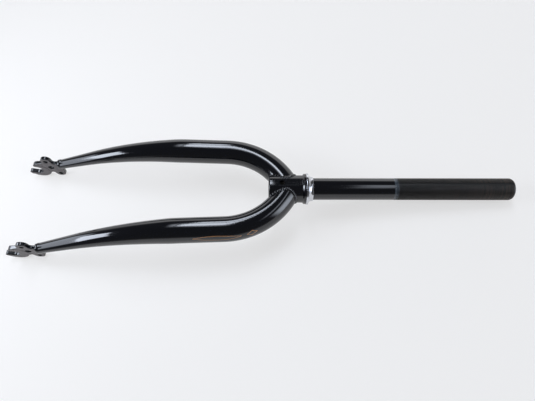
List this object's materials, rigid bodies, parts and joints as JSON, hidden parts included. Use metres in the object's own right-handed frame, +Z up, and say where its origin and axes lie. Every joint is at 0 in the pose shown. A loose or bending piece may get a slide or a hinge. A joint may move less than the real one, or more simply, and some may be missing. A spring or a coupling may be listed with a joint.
{
  "type": "bicycle fork",
  "caption": "Welded steel bicycle fork with curved tapering legs, a threaded steerer with a crown race, a brake bolt hole and slotted dropouts.",
  "frame": {"origin": "centre of the bounding box in X and Y, on the table the fork lies on", "axes": "+X roughly along the steerer towards its threaded end, which dips 5.3 degrees to the table; +Y across the wheel towards the left leg, along the axle; +Z up, towards the rear of the bicycle"},
  "size_m": [0.605, 0.1334, 0.0629],
  "materials": {
    "black_paint": "gloss black enamel",
    "plate_paint": "thin black paint on forged plate, satin",
    "chrome": "polished plating"
  },
  "bodies": {
    "root": {"steerer_tube": "black_paint", "crown_race": "chrome", "left_leg": "black_paint", "right_leg": "black_paint", "left_dropout": "plate_paint", "right_dropout": "plate_paint", "left_crown_weld": "black_paint", "right_crown_weld": "black_paint", "left_dropout_weld": "black_paint", "right_dropout_weld": "black_paint"}
  },
  "joints": []
}
